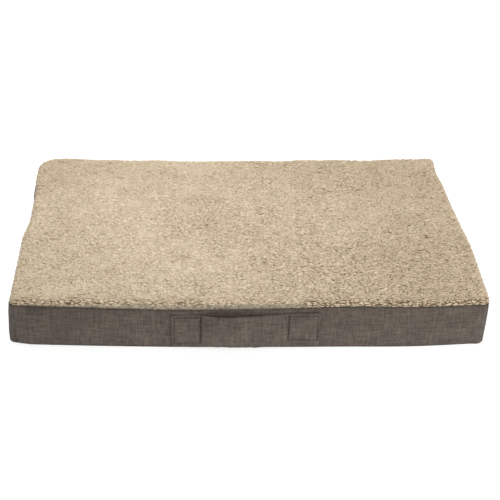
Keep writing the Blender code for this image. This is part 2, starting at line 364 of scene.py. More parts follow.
# ---- materials ----------------------------------------------------------------------------
class Look:
    """A Principled material that nodes are added to by short calls."""

    def __init__(self, name, **settings):
        self.material = bpy.data.materials.new(name)
        self.material.use_nodes = True
        self.tree = self.material.node_tree
        self.shader = self.tree.nodes["Principled BSDF"]
        for label, value in settings.items():
            self.shader.inputs[label.replace("_", " ")].default_value = value

    def add(self, kind, inputs=None, **settings):
        node = self.tree.nodes.new(kind)
        for name, value in settings.items():
            setattr(node, name, value)
        for name, value in (inputs or {}).items():
            socket = node.inputs[name]
            if isinstance(value, bpy.types.NodeSocket):
                self.tree.links.new(value, socket)
            else:
                socket.default_value = value
        return node

    def where(self, attribute=None, scale=(1, 1, 1)):
        """Object coordinates, or a stored vector, scaled."""
        if attribute:
            source = self.add("ShaderNodeAttribute", attribute_name=attribute).outputs["Vector"]
        else:
            source = self.add("ShaderNodeTexCoord").outputs["Object"]
        return self.add("ShaderNodeMapping", {"Vector": source, "Scale": scale}).outputs["Vector"]

    def value(self, attribute):
        return self.add("ShaderNodeAttribute", attribute_name=attribute).outputs["Fac"]

    def noise(self, where, scale, detail=2.0, roughness=0.5, distortion=0.0):
        inputs = {
            "Vector": where,
            "Scale": scale,
            "Detail": detail,
            "Roughness": roughness,
            "Distortion": distortion,
        }
        return self.add("ShaderNodeTexNoise", inputs).outputs["Fac"]

    def ramp(self, factor, stops):
        """Colours or greys along a 0 to 1 value."""
        node = self.add("ShaderNodeValToRGB", {"Fac": factor})
        elements = node.color_ramp.elements
        while len(elements) < len(stops):
            elements.new(0.5)
        for element, (place, colour) in zip(elements, stops):
            element.position = place
            if isinstance(colour, (int, float)):
                colour = (colour, colour, colour)
            element.color = (*colour, 1.0)
        return node.outputs["Color"]

    def mix(self, factor, first, second, blend="MIX"):
        node = self.add("ShaderNodeMix", data_type="RGBA", blend_type=blend)
        for socket, value in ((node.inputs[0], factor), (node.inputs[6], first), (node.inputs[7], second)):
            if isinstance(value, bpy.types.NodeSocket):
                self.tree.links.new(value, socket)
            elif isinstance(value, tuple):
                socket.default_value = (*value, 1.0)
            else:
                socket.default_value = value
        return node.outputs[2]

    def math(self, operation, first, second=0.0):
        node = self.add("ShaderNodeMath", operation=operation)
        for socket, value in zip(node.inputs, (first, second)):
            if isinstance(value, bpy.types.NodeSocket):
                self.tree.links.new(value, socket)
            else:
                socket.default_value = value
        return node.outputs[0]

    def stretch(self, value, low, high, out_low, out_high):
        inputs = {
            "Value": value,
            "From Min": low,
            "From Max": high,
            "To Min": out_low,
            "To Max": out_high,
        }
        return self.add("ShaderNodeMapRange", inputs).outputs["Result"]

    def finish(self, colour=None, roughness=None, height=None, depth=0.0005, strength=1.0):
        if colour is not None:
            self.tree.links.new(colour, self.shader.inputs["Base Color"])
        if roughness is not None:
            self.tree.links.new(roughness, self.shader.inputs["Roughness"])
        if height is not None:
            inputs = {"Height": height, "Distance": depth, "Strength": strength}
            relief = self.add("ShaderNodeBump", inputs)
            self.tree.links.new(relief.outputs["Normal"], self.shader.inputs["Normal"])
        return self.material


def sherpa_look():
    """Curly pile: dark between the curls as painted shade, pale at their tips, and a greyer bare backing."""
    look = Look("sherpa_pile", Roughness=0.95, Sheen_Weight=0.20, Sheen_Roughness=0.6)
    look.shader.inputs["Sheen Tint"].default_value = (1.0, 0.95, 0.86, 1.0)
    look.shader.inputs["Specular IOR Level"].default_value = 0.15
    place = look.where()
    fine = look.noise(place, 620.0, 3.0, 0.65, 0.4)
    patches = look.noise(place, 9.0, 3.0, 0.55)
    pile = look.value("pile")
    mixed = look.math("ADD", look.math("MULTIPLY", pile, 0.86), look.math("MULTIPLY", fine, 0.16))
    # painted shade: the lower the pile, the darker its colour, down to a deep brown in the gaps between the
    # curls
    stops = [
        (0.08, (0.130, 0.080, 0.040)),
        (0.34, (0.400, 0.300, 0.192)),
        (0.56, (0.665, 0.542, 0.388)),
        (0.88, (0.815, 0.686, 0.515)),
    ]
    colour = look.ramp(mixed, stops)
    # the stored tint is each curl's own tint times a painted shade that dims it away from the middle
    own = look.ramp(look.value("tint"), [(0.0, (0.78, 0.76, 0.72)), (1.0, (1.0, 1.0, 1.0))])
    shade = look.ramp(patches, [(0.35, (0.965, 0.96, 0.95)), (0.65, (1.0, 1.0, 1.0))])
    toned = look.mix(1.0, look.mix(1.0, colour, own, "MULTIPLY"), shade, "MULTIPLY")
    worn = look.noise(place, 190.0, 3.0, 0.6)
    greys = [(0.32, (0.20, 0.163, 0.118)), (0.50, (0.36, 0.300, 0.220)), (0.68, (0.48, 0.410, 0.310))]
    backing = look.ramp(worn, greys)
    final = look.mix(look.value("backing"), toned, backing)
    rough = look.stretch(pile, 0.0, 1.0, 1.0, 0.85)
    height = look.noise(place, 900.0, 3.0, 0.7, 0.6)
    return look.finish(final, rough, height, depth=0.0010, strength=0.65)


def linen_look(name="heathered_linen"):
    """A plain weave of uneven threads: short slubs along both ways, over a patchy brown grey."""
    look = Look(name, Roughness=0.92, Sheen_Weight=0.12, Sheen_Roughness=0.5)
    look.shader.inputs["Specular IOR Level"].default_value = 0.2
    place = look.where("cloth")
    across = look.noise(look.where("cloth", (40, 360, 40)), 1.0, 3.0, 0.6, 0.3)
    upright = look.noise(look.where("cloth", (360, 40, 40)), 1.0, 3.0, 0.6, 0.3)
    broad_across = look.noise(look.where("cloth", (20, 190, 20)), 1.0, 2.0, 0.5, 0.4)
    broad_upright = look.noise(look.where("cloth", (190, 20, 20)), 1.0, 2.0, 0.5, 0.4)
    which = look.ramp(look.noise(place, 34.0, 2.0, 0.5), [(0.38, 0.0), (0.62, 1.0)])
    slubs = look.mix(which, across, upright)
    broad = look.mix(which, broad_upright, broad_across)
    heather = look.math("ADD", look.math("MULTIPLY", slubs, 0.62), look.math("MULTIPLY", broad, 0.38))
    tone = look.stretch(heather, 0.36, 0.64, 0.0, 1.0)
    stops = [(0.0, (0.070, 0.056, 0.046)), (0.5, (0.114, 0.093, 0.076)), (1.0, (0.166, 0.139, 0.115))]
    colour = look.ramp(tone, stops)
    hue = look.noise(place, 22.0, 3.0, 0.5)
    shade = look.ramp(hue, [(0.36, (0.90, 0.87, 0.90)), (0.64, (1.04, 1.04, 1.00))])
    colour = look.mix(1.0, colour, shade, "MULTIPLY")
    # painted shade: where the stored mark is high, the cloth's colour is darkened towards a dark grey brown
    dark = look.mix(1.0, colour, (0.40, 0.38, 0.36), "MULTIPLY")
    colour = look.mix(look.value("painted_shade"), colour, dark)
    bands = {"Vector": place, "Scale": 175.0, "Distortion": 1.2, "Detail": 1.0}
    warp = look.add("ShaderNodeTexWave", bands, bands_direction="X").outputs["Fac"]
    weft = look.add("ShaderNodeTexWave", bands, bands_direction="Y").outputs["Fac"]
    weave = look.math("MAXIMUM", warp, weft)
    relief = look.math("ADD", look.math("MULTIPLY", weave, 0.5), slubs)
    rough = look.stretch(tone, 0.0, 1.0, 0.98, 0.86)
    return look.finish(colour, rough, relief, depth=0.0004, strength=0.7)


def base_look():
    """Dark non-slip cloth with a grid of small raised dots."""
    look = Look("base_cloth", Roughness=0.85)
    look.shader.inputs["Specular IOR Level"].default_value = 0.25
    place = look.where()
    dots = look.add(
        "ShaderNodeTexVoronoi",
        {"Vector": place, "Scale": 90.0, "Randomness": 0.0},
    ).outputs["Distance"]
    dot = look.ramp(dots, [(0.20, 1.0), (0.26, 0.0)])
    weave = look.noise(look.where(None, (500, 60, 60)), 1.0, 3.0, 0.6)
    cross = look.noise(look.where(None, (60, 500, 60)), 1.0, 3.0, 0.6)
    cloth = look.ramp(
        look.math("MULTIPLY", look.math("ADD", weave, cross), 0.5),
        [(0.35, (0.035, 0.031, 0.029)), (0.65, (0.085, 0.076, 0.070))],
    )
    colour = look.mix(dot, cloth, (0.125, 0.118, 0.112))
    rough = look.ramp(dot, [(0.0, 0.92), (1.0, 0.45)])
    relief = look.math("ADD", look.math("MULTIPLY", dot, 2.0), weave)
    return look.finish(colour, rough, relief, depth=0.0004, strength=0.8)


def thread_look():
    look = Look("stitch_thread", Roughness=0.7, Sheen_Weight=0.1)
    place = look.where(None, (900, 900, 900))
    twist = look.noise(place, 1.0, 2.0, 0.5)
    colour = look.ramp(twist, [(0.3, (0.085, 0.07, 0.058)), (0.7, (0.20, 0.17, 0.145))])
    return look.finish(colour, None, twist, depth=0.0003, strength=0.6)


def tape_look():
    """Herringbone zip tape."""
    look = Look("zip_tape", Roughness=0.9)
    ribs = look.add(
        "ShaderNodeTexWave",
        {"Vector": look.where(), "Scale": 260.0, "Distortion": 0.6, "Detail": 1.0},
        bands_direction="DIAGONAL",
    ).outputs["Fac"]
    colour = look.ramp(ribs, [(0.2, (0.052, 0.042, 0.036)), (0.8, (0.115, 0.096, 0.082))])
    return look.finish(colour, None, ribs, depth=0.0003, strength=0.7)


def nylon_look():
    look = Look("nylon_coil", Roughness=0.42)
    place = look.where()
    tone = look.noise(place, 240.0, 2.0, 0.5)
    colour = look.ramp(tone, [(0.3, (0.062, 0.050, 0.043)), (0.7, (0.120, 0.100, 0.086))])
    rough = look.stretch(tone, 0.3, 0.7, 0.36, 0.55)
    return look.finish(colour, rough, tone, depth=0.0002, strength=0.3)


def metal_look():
    """Antique plated zinc: darker in patches, rubbed brighter in others."""
    look = Look("antique_plate", Roughness=0.35, Metallic=1.0)
    place = look.where()
    wear = look.noise(place, 340.0, 4.0, 0.6)
    colour = look.ramp(wear, [(0.35, (0.13, 0.115, 0.10)), (0.65, (0.34, 0.31, 0.28))])
    rough = look.stretch(wear, 0.3, 0.7, 0.48, 0.26)
    return look.finish(colour, rough, wear, depth=0.0001, strength=0.35)


def foam_look(name, deep, pale):
    """Open-cell foam: a pale body with fine pores painted dark as the shade inside them."""
    look = Look(name, Roughness=0.95)
    place = look.where()
    cells = look.add("ShaderNodeTexVoronoi", {"Vector": place, "Scale": 520.0}).outputs["Distance"]
    tint = look.noise(place, 14.0, 2.0, 0.5)
    # painted shade: darker at the pores
    colour = look.ramp(cells, [(0.05, deep), (0.45, pale)])
    shade = look.ramp(tint, [(0.3, 0.93), (0.7, 1.03)])
    colour = look.mix(1.0, colour, shade, "MULTIPLY")
    return look.finish(colour, None, cells, depth=0.0008, strength=0.6)


def label_look():
    look = Look("label_satin", Roughness=0.5, Sheen_Weight=0.2)
    weave = look.noise(look.where(None, (300, 300, 1800)), 1.0, 2.0, 0.5)
    colour = look.ramp(weave, [(0.3, (0.50, 0.48, 0.44)), (0.7, (0.64, 0.62, 0.58))])
    return look.finish(colour, None, weave, depth=0.0002, strength=0.5)


# ---- sherpa top ---------------------------------------------------------------------------
def backing_width(x, y):
    """How far the bare backing shows above the seam: widest along the front's left part."""
    front = ease(-y, BACK_Y - 0.03, BACK_Y - 0.01)
    shown = (0.38 + 0.62 * ease(x, -0.38, -0.20)) * ease(x, -0.445, -0.425)
    shown *= 1 - ease(x, 0.045, 0.145)
    return 0.0020 + front * (0.0062 * shown - 0.0022 * (1 - shown))


def sherpa_sheet():
    """The backing's grid: flat on top, rolled over the edge and down to the seam."""
    inner_x = END_X - PILE_INSET - PLAN_RADIUS
    inner_y = BACK_Y - PILE_INSET - PLAN_RADIUS
    flat_run = PLAN_RADIUS - EDGE_ROLL
    skirt = 0.008
    reach = flat_run + EDGE_ROLL * math.pi / 2 + skirt
    columns = int(2 * (inner_x + reach) / PILE_STEP_X)
    rows = int(2 * (inner_y + reach) / PILE_STEP_Y)
    u = np.linspace(-inner_x - reach, inner_x + reach, columns)
    v = np.linspace(-inner_y - reach, inner_y + reach, rows)
    u, v = (a.ravel() for a in np.meshgrid(u, v))
    past_x = np.clip(np.abs(u) - inner_x, 0, None) * np.sign(u)
    past_y = np.clip(np.abs(v) - inner_y, 0, None) * np.sign(v)
    past = np.hypot(past_x, past_y)
    inside = past <= reach + 1e-9
    run = np.minimum(past, reach)
    out_x = past_x / np.maximum(past, 1e-9)
    out_y = past_y / np.maximum(past, 1e-9)

    turn = np.clip((run - flat_run) / EDGE_ROLL, 0, math.pi / 2)
    out = np.minimum(run, flat_run) + EDGE_ROLL * np.sin(turn)
    x = np.clip(u, -inner_x, inner_x) + out_x * out
    y = np.clip(v, -inner_y, inner_y) + out_y * out
    down = np.clip(run - (reach - skirt), 0, None) / skirt
    drop = SHERPA_BASE_Z - seam_height(x, y) + SEAM_TUCK
    z = SHERPA_BASE_Z - drop * (0.40 * (1 - np.cos(turn)) + 0.60 * down)
    points = np.stack([x, y, z], axis=1)
    side = np.sin(turn)
    normals = np.stack([out_x * side, out_y * side, np.cos(turn)], axis=1)
    sheet = np.stack([u, v], axis=1)
    return sheet, points, normals, inside, rows, columns


def nodules(sheet, cell, seed, gap=0.10, stretch=1.50):
    """Packed rounded nodules, each with its own direction, as (height, tint, lean) per point.

    One lies near the middle of each cell of a grid, and a point belongs to the nearest one.
    """
    rng = np.random.default_rng(seed)
    low = np.floor(sheet.min(axis=0) / cell).astype(int) - 2
    shape = tuple(np.floor(sheet.max(axis=0) / cell).astype(int) - low + 4)
    jitter = 0.5 + 0.8 * (rng.random((*shape, 2)) - 0.5)
    angle = (rng.random(shape) - 0.6) * 1.0
    size = rng.random(shape)
    lean_angle = rng.random(shape) * 2 * math.pi
    home = np.floor(sheet / cell).astype(int) - low
    nearest = np.full(len(sheet), 9.0)
    second = np.full(len(sheet), 9.0)
    owner = np.zeros((len(sheet), 2), int)
    for i in (-1, 0, 1):
        for j in (-1, 0, 1):
            row, column = home[:, 0] + i, home[:, 1] + j
            centre = np.stack([row + low[0], column + low[1]], axis=1) + jitter[row, column]
            off = sheet / cell - centre
            cosine, sine = np.cos(angle[row, column]), np.sin(angle[row, column])
            along = (off[:, 0] * cosine + off[:, 1] * sine) / stretch
            across = (off[:, 1] * cosine - off[:, 0] * sine) * stretch
            distance = np.hypot(along, across)
            closer = distance < nearest
            second = np.where(closer, nearest, np.minimum(second, distance))
            nearest = np.where(closer, distance, nearest)
            owner[closer] = np.stack([row, column], axis=1)[closer]
    crease = 1 - np.exp(-(second - nearest) / gap)
    dome = np.clip(1 - 0.45 * nearest**2, 0, 1)
    own = (owner[:, 0], owner[:, 1])
    way = lean_angle[own]
    lean = np.stack([np.cos(way), np.sin(way)], axis=1)
    return crease * dome * (0.74 + 0.26 * size[own]), size[own], lean


def near_front(flat):
    return ease(-flat[:, 1], BACK_Y - 0.034, BACK_Y - 0.004)


def tufting(flat):
    """How deep the gaps between the curls are: deepest along the front and in two patches."""
    # deeper gaps also get more of the painted shade that sherpa_look gives the low pile, so these places come
    # out darker
    spread = 0.77 + 0.05 * noise(flat, 13, 0.08, 40) + 0.05 * noise(flat, 15, 0.24, 30)
    middle = 0.20 * bump(flat[:, 0], -0.06, 0.09) * bump(flat[:, 1], -0.01, 0.08)
    corner = 0.32 * bump(flat[:, 0], 0.27, 0.16) * bump(flat[:, 1], -0.17, 0.10)
    right = 0.27 * ease(flat[:, 0], -0.25, 0.35)
    return np.clip(spread + middle + corner + right + 0.32 * near_front(flat), 0.4, 1.25)


def curls(sheet):
    """Height of the pile from 0 to 1, each curl's own tint, and the way that it leans."""
    flat = np.stack([sheet[:, 0], sheet[:, 1], np.zeros(len(sheet))], axis=1)
    shift = np.stack([noise(flat, 21 + i, 0.016, 40) for i in range(2)], axis=1)
    bent = sheet * PILE_GRAIN + 0.0011 * shift
    large, tint, lean = nodules(bent, 0.0053, 11)
    thick = nodules(bent, 0.0067, 16, gap=0.15)[0]
    large += (thick - large) * near_front(flat)
    small = nodules(bent + 0.0006 * shift[:, ::-1], 0.0033, 12)[0]
    height = 1 - (1 - large) * tufting(flat) - 0.11 * (1 - small)
    lean = 0.50 * lean + np.array(PILE_LEAN)
    return np.clip(height, 0, 1.15), tint, lean


def tint_with_painted_dimming(points, tint):
    """Each curl's tint, made a little duller away from the middle by painted shade."""
    x, y = points[:, 0], points[:, 1]
    # painted shade: the tint is dimmed towards the back, the left, the right and the front
    painted_dimming = 0.50 * ease(y, 0.05, 0.24) + 0.35 * ease(-x, 0.20, 0.40)
    painted_dimming += 0.55 * ease(x, 0.12, 0.40) * (1 - 0.5 * ease(y, 0.05, 0.24)) + 0.15 * ease(-y, 0.20, 0.30)
    return (0.36 + 0.64 * tint) * (1 - np.clip(painted_dimming, 0, 0.8))


def add_sherpa(material):
    sheet, points, normals, inside, rows, columns = sherpa_sheet()
    height, tint, lean = curls(sheet)
    lean = np.concatenate([lean, np.zeros((len(lean), 1))], axis=1)
    lean -= normals * np.sum(lean * normals, axis=1)[:, None]
    steep = 1 - normals[:, 2]
    above = points[:, 2] - seam_height(points[:, 0], points[:, 1])
    bare = backing_width(points[:, 0], points[:, 1])
    ragged = 0.20 * np.clip(noise(points, 41, 0.016, 40), -1.2, 1.2) + 0.15 * (tint - 0.5)
    bare = bare + np.minimum(bare, 0.006) * ragged
    band = (1 - ease(above, bare - 0.0008, bare + 0.0006)) * ease(steep, 0.05, 0.25)
    fuzz = 0.0005 * band * (np.clip(noise(points, 42, 0.006, 50), -1, 1) + 1)
    grown = (1 - band) * (1 + 0.35 * steep) * (0.30 + 0.70 * ease(above - bare, -0.001, 0.004))
    raised = points + normals * (PILE_HEIGHT * height * grown + fuzz)[:, None]
    raised += lean * (0.0024 * height**2 * grown)[:, None]
    shaped = on_cover(raised)

    faces = grid_faces(rows, columns)
    faces = faces[inside[faces].any(axis=1)]
    used = np.unique(faces)
    renumber = np.full(rows * columns, -1)
    renumber[used] = np.arange(len(used))
    mesh = make_mesh("sherpa_top", shaped[used], renumber[faces])
    store(mesh, "pile", np.clip(height, 0, 1)[used])
    store(mesh, "tint", tint_with_painted_dimming(points, tint)[used])
    store(mesh, "backing", band[used])
    close_underside(mesh, SEAM_Z + 0.0005)
    piece = add_object("sherpa_top", mesh)
    settle(piece, COVER, material, "sherpa", "sherpa_top_panel")
    return piece


def close_underside(mesh, level):
    """Turn the open rim in a little at the given height and fill it, for one closed body."""
    bm = bmesh.new()
    bm.from_mesh(mesh)
    rim = [edge for edge in bm.edges if edge.is_boundary]
    turned = bmesh.ops.extrude_edge_only(bm, edges=rim)["geom"]
    for vertex in (part for part in turned if isinstance(part, bmesh.types.BMVert)):
        vertex.co.x *= 1 - 0.005 / END_X
        vertex.co.y *= 1 - 0.005 / BACK_Y
        vertex.co.z = level
    close_holes(bm)
    bm.to_mesh(mesh)
    bm.free()


def close_holes(bm):
    rim = [edge for edge in bm.edges if edge.is_boundary]
    for face in bmesh.ops.holes_fill(bm, edges=rim, sides=0)["faces"]:
        face.smooth = False
    bmesh.ops.recalc_face_normals(bm, faces=bm.faces)


def close_ends(mesh):
    bm = bmesh.new()
    bm.from_mesh(mesh)
    close_holes(bm)
    bm.to_mesh(mesh)
    bm.free()


# ---- side panels --------------------------------------------------------------------------
def corner_arc(way_x, way_y, start, end, steps=10):
    """Plan points and outward directions round one corner of the plain box."""
    made = []
    for i in range(steps + 1):
        angle = math.radians(start + (end - start) * i / steps)
        out = (math.cos(angle), math.sin(angle))
        x = way_x * (END_X - PLAN_RADIUS) + PLAN_RADIUS * out[0]
        y = way_y * (BACK_Y - PLAN_RADIUS) + PLAN_RADIUS * out[1]
        made.append((x, y, *out))
    return made


def straight(start, end, out):
    """Plan points along one side, with both its ends."""
    length = math.dist(start, end)
    steps = max(2, round(length / PANEL_STEP))
    made = []
    for i in range(steps + 1):
        t = i / steps
        x = start[0] + (end[0] - start[0]) * t
        y = start[1] + (end[1] - start[1]) * t
        made.append((x, y, *out))
    return made


def panel_mesh(name, plan, low, high, seed, zip_side=False):
    """An upright strip of cloth between two heights, given as functions of x and y."""
    plan = np.array(plan)
    gaps = np.hypot(np.diff(plan[:, 0]), np.diff(plan[:, 1]))
    along = np.concatenate([[0], np.cumsum(gaps)])
    share = np.concatenate([[0, 0.012, 0.028], np.linspace(0.05, 0.95, 25), [0.972, 0.988, 1]])
    rows, columns = len(share), len(plan)
    x, y = np.tile(plan[:, 0], rows), np.tile(plan[:, 1], rows)
    out = np.tile(plan[:, 2:4], (rows, 1))
    s = np.tile(along, rows)
    bottom, top = low(x, y), high(x, y)
    t = np.repeat(share, columns)
    z = bottom + (top - bottom) * t
    from_edge = np.minimum(z - bottom, top - z)
    from_end = np.minimum(s, along[-1] - s)
    turned = lambda gap: HEM - np.sqrt(np.clip(HEM**2 - np.clip(HEM - gap, 0, HEM) ** 2, 0, None))
    under = 0.45 * turned(from_edge) + 0.3 * turned(from_end)

    points = np.stack([x, y, z], axis=1)
    cloth = np.stack([s, z, np.full_like(s, seed)], axis=1)
    full = ease(from_end, 0, 0.03)
    swell = 0.0022 * 4 * t * (1 - t) * full
    wave = 0.0007 * noise(cloth * (1, 0.6, 1), seed, 0.16, 30) * full
    crease = 0.00035 * noise(cloth * (1, 0.45, 1), seed + 1, 0.045, 50)
    pucker = 0.00045 * noise(cloth * (1, 0.15, 1), seed + 2, 0.014, 60)
    pucker *= np.exp(-from_edge / 0.009)
    if zip_side:
        swell, wave, crease = swell * 0.15, wave * 0.1, crease * 0.5
        under += 0.0016 * (1 - ease(from_end, 0.006, 0.013))
    push = swell + wave + crease + pucker - under
    points[:, :2] += out * push[:, None]
    shaped = on_cover(points)
    mesh = make_mesh(name, shaped, grid_faces(rows, columns))
    store(mesh, "cloth", cloth)
    # painted shade: every panel darker towards the left end and a little towards the right end, and along its
    # hems and ends
    painted_end_shade = 0.20 * ease(-x, 0.20, 0.44) + 0.09 * ease(x, 0.22, 0.42)
    hems = 0.45 * np.exp(-from_edge / 0.0022) + 0.12 * np.exp(-from_end / 0.0015)
    store(mesh, "painted_shade", hems + painted_end_shade)
    return mesh


def add_panel(name, node, plan, low, high, seed, material, zip_side=False):
    mesh = panel_mesh(name, plan, low, high, seed, zip_side)
    piece = add_object(name, mesh)
    add_modifier(piece, "SOLIDIFY", thickness=CLOTH, offset=-1, use_even_offset=False)
    settle(piece, COVER, material, "linen", node)
    return piece


def add_sides(material):
    foot = lambda x, y: np.full_like(x, FOOT_Z)
    upper_edge = lambda x, y: np.full_like(x, panel_low.z)
    lower_edge = lambda x, y: np.full_like(x, lower_high.z)
    edge_x = END_X - PLAN_RADIUS - 0.0005
    edge_y = BACK_Y - PLAN_RADIUS - 0.0005
    back_end = panel_high.x - 0.003
    strip_end = panel_high.x + 0.006
    front = (
        corner_arc(-1, -1, 225, 270)
        + straight((-edge_x, -BACK_Y), (edge_x, -BACK_Y), (0, -1))
        + corner_arc(1, -1, 270, 315)
    )
    right = (
        corner_arc(1, -1, 315, 360)
        + straight((END_X, -edge_y), (END_X, edge_y), (1, 0))
        + corner_arc(1, 1, 0, 90)
        + straight((edge_x, BACK_Y), (back_end, BACK_Y), (0, 1))
    )
    left = (
        straight((-back_end, BACK_Y), (-edge_x, BACK_Y), (0, 1))
        + corner_arc(-1, 1, 90, 180)
        + straight((-END_X, edge_y), (-END_X, -edge_y), (-1, 0))
        + corner_arc(-1, -1, 180, 225)
    )
    back = straight((strip_end, BACK_Y), (-strip_end, BACK_Y), (0, 1))
    pieces = [
        add_panel("front_side", "front_gusset", front, foot, seam_height, 100, material),
        add_panel("right_side", "right_gusset", right, foot, seam_height, 200, material),
        add_panel("left_side", "left_gusset", left, foot, seam_height, 300, material),
        add_panel("back_strip_upper", "back_gusset_upper", back, upper_edge, seam_height, 400, material, True),
        add_panel("back_strip_lower", "back_gusset_lower", back, foot, lower_edge, 500, material, True),
    ]
    return pieces


# ---- base ---------------------------------------------------------------------------------
def add_base(material):
    """The floor panel: a thin slab with a rounded rim, inside the sides' lower edge."""
    edge_x = END_X - PLAN_RADIUS - 0.0005
    edge_y = BACK_Y - PLAN_RADIUS - 0.0005
    outline = (
        corner_arc(-1, -1, 180, 270)
        + straight((-edge_x, -BACK_Y), (edge_x, -BACK_Y), (0, -1))
        + corner_arc(1, -1, 270, 360)
        + straight((END_X, -edge_y), (END_X, edge_y), (1, 0))
        + corner_arc(1, 1, 0, 90)
        + straight((edge_x, BACK_Y), (-edge_x, BACK_Y), (0, 1))
        + corner_arc(-1, 1, 90, 180)
        + straight((-END_X, edge_y), (-END_X, -edge_y), (-1, 0))
    )
    plan = np.array(outline)
    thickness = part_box("base_panel")[1].z
    inner = (0.02, 0.25, 0.5, 0.75, 0.9)
    rim = ((0.0045, 0.0), (0.0022, 0.0003), (0.0018, 0.0006), (0.0024, 0.0009), (0.0045, thickness))
    rings = [(plan[:, :2] * share, 0.0) for share in inner]
    rings += [(plan[:, :2] - plan[:, 2:] * inset, z) for inset, z in rim]
    rings += [(plan[:, :2] * share, thickness) for share in reversed(inner)]
    rings = [np.column_stack([flat, np.full(len(plan), z)]) for flat, z in rings]
    points = np.concatenate(rings)
    shaped = shape_cover(points)
    shaped[:, 2] = points[:, 2]
    mesh = make_mesh("base_cloth_panel", shaped, grid_faces(len(rings), len(plan), wrap_columns=True))
    close_ends(mesh)
    piece = add_object("base_cloth_panel", mesh)
    settle(piece, COVER, material, "base_cloth", "base_panel")
    return piece


# ---- handle -------------------------------------------------------------------------------
STRAP_THICK = 0.0028
STRAP_BOW = 0.0115
FOLD_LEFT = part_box("handle_stitch_left")[1].x - 0.0005
FOLD_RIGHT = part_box("handle_stitch_right")[0].x + 0.0005


def face_y(x, z):
    """The front panel's outer face at the handle."""
    face = -BACK_Y - front_bulge(x)
    if swell is not None:
        face = face + swell.at(np.stack([x, np.full_like(x, -BACK_Y), z], axis=1))[:, 1]
    return face - 0.0022 * 4 * z * (SEAM_Z - z) / SEAM_Z**2


def strap_bow(x):
    """How far the strap's inner face stands off the front, fuller left of its middle."""
    start = FOLD_LEFT + 0.002
    end = FOLD_RIGHT - 0.002
    t = np.clip((x - start) / (end - start), 0, 1)
    return STRAP_BOW * 2.15 * t**0.50 * (1 - t) ** 1.30


def ring_distance(x, z, node):
    """Distance in the plane of the front from the line of a box stitch."""
    low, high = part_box(node)
    across = np.abs(x - (low.x + high.x) / 2) - (high.x - low.x) / 2 + 0.0005
    upright = np.abs(z - (low.z + high.z) / 2) - (high.z - low.z) / 2 + 0.0005
    outside = np.hypot(np.clip(across, 0, None), np.clip(upright, 0, None))
    return np.abs(outside + np.minimum(np.maximum(across, upright), 0))


def strap_z(x, up):
    """Height of a point of the strap: it widens and rises a little towards its right end."""
    half_high = (strap_high.z - strap_low.z) / 2
    along = (x - strap_low.x) / (strap_high.x - strap_low.x)
    return strap_low.z + half_high + up * (1 + (0.0030 * along - 0.0014) / half_high) + 0.0012 * along


def strap_section(half_high):
    """Points round the folded strap's section, as (distance off its back, height)."""
    edge = STRAP_THICK / 2
    run = half_high - edge
    steps = 58
    up = [(0.0, -run + 2 * run * i / steps) for i in range(steps)]
    down = [(2 * edge, run - 2 * run * i / steps) for i in range(steps)]
    over = [(edge - edge * math.cos(a), run + edge * math.sin(a)) for a in np.linspace(0, math.pi, 8)[:-1]]
    under = [(edge + edge * math.cos(a), -run - edge * math.sin(a)) for a in np.linspace(0, math.pi, 8)[:-1]]
    return np.array(up + over + down + under)


def add_handle(material):
    """A folded strap swept along the front, sewn flat at its ends and bowed out between."""
    length = strap_high.x - strap_low.x
    half_high = (strap_high.z - strap_low.z) / 2
    middle_z = (strap_high.z + strap_low.z) / 2
    section = strap_section(half_high)
    stations = np.linspace(0, length, int(length / 0.0013))
    stations = np.concatenate([[0, 0.0004], stations[1:-1], [length - 0.0004, length]])
    x = np.repeat(strap_low.x + stations, len(section))
    off = np.tile(section[:, 0], len(stations))
    up = np.tile(section[:, 1], len(stations))
    rise = up / half_high
    from_end = np.minimum(x - strap_low.x, strap_high.x - x)
    end_round = 1 - 0.5 * np.exp(-from_end / 0.0005)
    edge = STRAP_THICK / 2
    bow = strap_bow(x) * (1 + 0.34 * rise)
    y = face_y(x, middle_z + up) - 0.0006 - bow - edge - (off - edge) * end_round

    outer = off / STRAP_THICK
    groove = np.zeros_like(x)
    for side in ("left", "right"):
        distance = ring_distance(x, middle_z + up, f"handle_stitch_{side}")
        groove += np.exp(-((distance / 0.0014) ** 2))
    left_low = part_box("handle_stitch_left")[0].z
    right_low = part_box("handle_stitch_right")[0].z
    fold = bump(x, FOLD_LEFT, 0.0010) * ease(middle_z + up, left_low - 0.003, left_low + 0.001)
    fold += bump(x, FOLD_RIGHT, 0.0010) * ease(middle_z + up, right_low - 0.003, right_low + 0.001)
    y += outer * (0.0015 * groove + 0.0014 * fold)
    hem = np.exp(-(((half_high - 0.0065 - np.abs(up)) / 0.0009) ** 2))
    y += outer * 0.0003 * hem

    cloth = np.stack([x + 3.0, up + 0.5, np.full(len(x), 7.0)], axis=1)
    ripple = 0.00040 * noise(cloth, 61, 0.040, 50) + 0.00018 * noise(cloth, 62, 0.012, 50)
    slack = 0.0011 * noise(cloth * (1, 0.3, 1), 63, 0.070, 40) * strap_bow(x) / STRAP_BOW
    y += ripple + slack
    edge_wave = 0.0006 * noise(cloth * (1, 0, 1), 64, 0.09, 30)
    z = strap_z(x, up) + edge_wave
    points = np.stack([x, y, z], axis=1)
    faces = grid_faces(len(stations), len(section), wrap_columns=True)
    mesh = make_mesh("carry_handle", points, faces)
    store(mesh, "cloth", cloth)
    # painted shade on the strap's outer face: darker in the stitch grooves, at the folds by the patches, at
    # its ends and along its rims
    ends = np.exp(-from_end / 0.0012)
    rims = np.exp(-(half_high - np.abs(up)) / 0.0010)
    store(mesh, "painted_shade", np.clip(0.8 * groove + 0.7 * fold + 0.5 * ends + 0.35 * rims, 0, 1) * outer)
    close_ends(mesh)
    piece = add_object("carry_handle", mesh)
    settle(piece, COVER, material, "linen", "handle_strap")
    return piece


